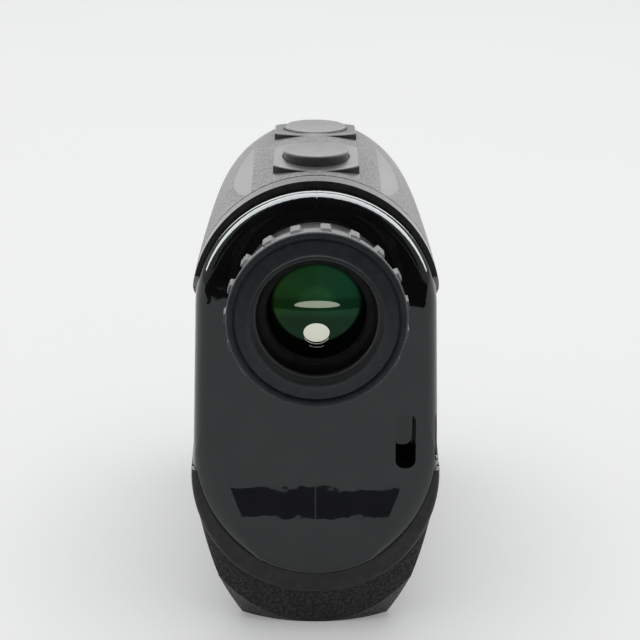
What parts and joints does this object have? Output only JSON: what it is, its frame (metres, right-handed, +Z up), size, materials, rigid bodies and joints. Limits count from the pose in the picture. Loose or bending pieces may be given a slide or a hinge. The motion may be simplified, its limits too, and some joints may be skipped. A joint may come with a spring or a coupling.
{
  "type": "laser rangefinder",
  "caption": "Upright handheld laser rangefinder with ribbed eyecup, oval top buttons, gloss shell, rubber armour and flat rubber boot.",
  "frame": {"origin": "centre of the flat underside of the rubber boot", "axes": "+Z up, +Y forward along the line of sight (away from the eyepiece), +X right as the user sees it"},
  "size_m": [0.0408, 0.1065, 0.078],
  "materials": {
    "gloss_shell": "piano-black moulded, polished",
    "armor_rubber": "leather-grain rubber over-moulding",
    "boot_rubber": "leather-grain rubber with smooth lip",
    "button_rubber": "fine matt silicone",
    "eyecup_rubber": "soft matt",
    "black_plastic": "matt moulded",
    "black_metal": "black anodised",
    "seal_rubber": "smooth",
    "optical_glass": "polished, anti-reflection coated",
    "prism_glass": "polished",
    "display_glass": "polished",
    "steel": "zinc-plated",
    "spring_steel": "nickel-plated",
    "circuit_board": "solder-masked laminate",
    "chip_plastic": "moulded epoxy",
    "flex_film": "polyimide film",
    "diode_can": "gold-flashed can",
    "cell_jacket": "printed-film jacket, no text"
  },
  "bodies": {
    "housing": {"baffle_tube": "black_plastic", "battery": "cell_jacket", "battery_spring": "spring_steel", "battery_tube": "black_plastic", "bezel_gasket": "seal_rubber", "bezel_screws": "steel", "board_chips": "chip_plastic", "bottom_boot": "boot_rubber", "button_frame": "black_plastic", "case_screws": "steel", "diopter_oring": "seal_rubber", "display_flex": "flex_film", "display_frame": "black_plastic", "eyepiece_barrel": "black_plastic", "front_bezel": "gloss_shell", "laser_board": "circuit_board", "laser_diode": "diode_can", "laser_lens": "optical_glass", "laser_lens_ring": "black_metal", "laser_tube": "black_metal", "lcd_display": "display_glass", "left_shell": "gloss_shell", "main_board": "circuit_board", "objective_cell": "black_metal", "objective_crown": "optical_glass", "objective_flint": "optical_glass", "objective_oring": "seal_rubber", "objective_retainer": "black_metal", "optical_frame": "black_plastic", "prism_clip": "spring_steel", "prism_front": "prism_glass", "prism_holder": "black_plastic", "prism_rear": "prism_glass", "receiver_board": "circuit_board", "receiver_diode": "diode_can", "right_shell": "gloss_shell", "switch_board": "circuit_board", "tact_switches": "chip_plastic", "top_armor": "armor_rubber"},
    "diopter_grip": {"eyecup": "eyecup_rubber", "diopter_ring": "black_plastic"},
    "ocular": {"ocular_cell": "black_metal", "ocular_retainer": "black_metal", "eye_lens": "optical_glass", "lens_spacer": "black_metal", "field_lens": "optical_glass", "field_lens_ring": "black_metal"},
    "mode_key": {"mode_button": "button_rubber", "mode_plunger": "black_plastic"},
    "power_key": {"power_button": "button_rubber", "power_plunger": "black_plastic"},
    "battery_door": {"battery_cap": "black_plastic", "cap_contact": "spring_steel", "cap_seal": "seal_rubber"}
  },
  "joints": [
    {"name": "diopter_turn", "type": "hinge", "parent": "housing", "child": "diopter_grip", "pos_m": [0, -0.04818, 0.058], "axis": [0, 1, 0], "range_deg": [-100, 100]},
    {"name": "ocular_focus", "type": "slide", "parent": "housing", "child": "ocular", "axis": [0, 1, 0], "range_m": [-0.0012, 0.0012]},
    {"name": "mode_press", "type": "slide", "parent": "housing", "child": "mode_key", "axis": [0, 0, -1], "range_m": [0, 0.0005], "stiffness_N_per_m": 3000},
    {"name": "power_press", "type": "slide", "parent": "housing", "child": "power_key", "axis": [0, 0, -1], "range_m": [0, 0.0005], "stiffness_N_per_m": 3000},
    {"name": "battery_cap_turn", "type": "hinge", "parent": "housing", "child": "battery_door", "pos_m": [0, 0.04782, 0.0215], "axis": [0, 1, 0], "range_deg": [-90, 0]}
  ],
  "couplings": [
    {"joint": "ocular_focus", "follows": "diopter_turn", "m_per_rad": 0.00068748}
  ]
}
